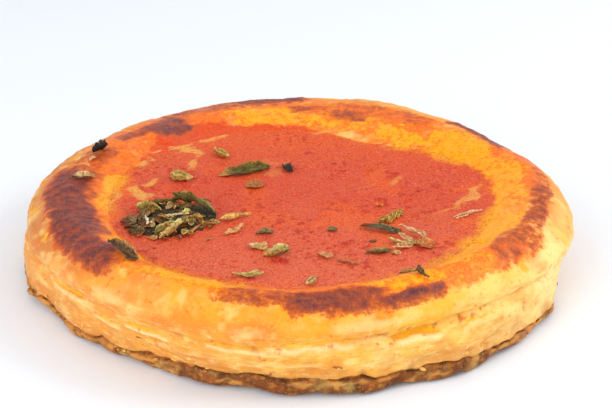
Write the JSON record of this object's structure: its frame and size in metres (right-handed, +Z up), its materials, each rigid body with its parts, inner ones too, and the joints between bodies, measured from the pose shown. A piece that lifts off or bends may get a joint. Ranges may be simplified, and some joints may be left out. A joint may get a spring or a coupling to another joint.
{
  "type": "puff pastry pizza",
  "caption": "Small round puff pastry pizza with a risen golden rim, tomato sauce in its dished middle and dried herb on the sauce.",
  "frame": {"origin": "on the underside, at the point that the round outline's radii are measured from", "axes": "+Z up out of the sauce, -Y towards the front, +X to the right"},
  "size_m": [0.103, 0.1051, 0.0181],
  "materials": {
    "baked_pastry": "satin",
    "tomato_sauce": "satin",
    "dried_herb": "matte"
  },
  "bodies": {
    "root": {"pastry": "baked_pastry", "sauce": "tomato_sauce", "herb_heap": "dried_herb", "large_leaf": "dried_herb"}
  },
  "joints": []
}
